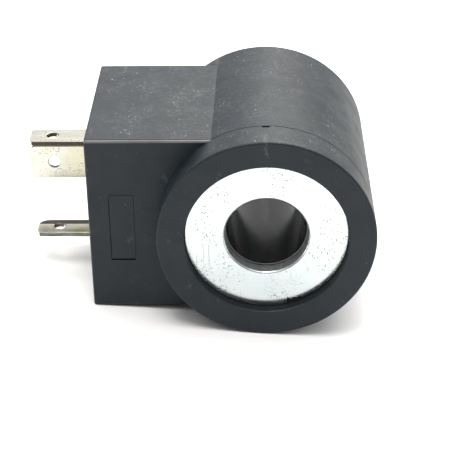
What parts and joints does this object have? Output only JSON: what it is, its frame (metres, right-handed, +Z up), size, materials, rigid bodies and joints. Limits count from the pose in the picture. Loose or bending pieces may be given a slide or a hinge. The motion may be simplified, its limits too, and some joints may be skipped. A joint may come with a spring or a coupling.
{
  "type": "solenoid valve coil",
  "caption": "Round encapsulated solenoid valve coil with an open bore, steel pole plates and a plug-in connector block with flat blades.",
  "frame": {"origin": "on the surface that the coil lies on, under the middle of the box round the whole part", "axes": "+Z up, -Y out of the front end of the bore, -X out of the connector pad along the blades; the bore axis is at X 12.25 mm, Z 18 mm"},
  "size_m": [0.0604, 0.039, 0.036],
  "materials": {
    "overmould": "satin black glass-filled nylon, fine moulded texture",
    "zinc_steel": "bright zinc plating with light handling scratches",
    "rolled_steel": "rolled strip steel, lightly oiled",
    "bobbin_nylon": "moulded black nylon, smooth",
    "enamelled_copper": "enamelled copper wire, glossy red-brown",
    "insulating_tape": "amber polyester tape",
    "carrier_nylon": "moulded dark grey nylon",
    "tinned_brass": "tin-plated stamped brass with bare sheared edges",
    "brass": "turned and knurled brass",
    "sleeve_fibre": "woven glass-fibre sleeve",
    "solder_alloy": "bright solder, slightly frosted"
  },
  "bodies": {
    "root": {"housing": "overmould", "front_pole_plate": "zinc_steel", "rear_pole_plate": "zinc_steel", "yoke_tube": "rolled_steel", "bobbin": "bobbin_nylon", "winding": "enamelled_copper", "winding_tape": "insulating_tape", "terminal_carrier": "carrier_nylon", "power_blade_upper": "tinned_brass", "power_blade_lower": "tinned_brass", "earth_blade": "tinned_brass", "earth_rivet": "zinc_steel", "connector_insert": "brass", "finish_lead": "enamelled_copper", "finish_lead_sleeve": "sleeve_fibre", "finish_solder_joint": "solder_alloy", "start_lead": "enamelled_copper", "start_lead_sleeve": "sleeve_fibre", "start_solder_joint": "solder_alloy"}
  },
  "joints": []
}
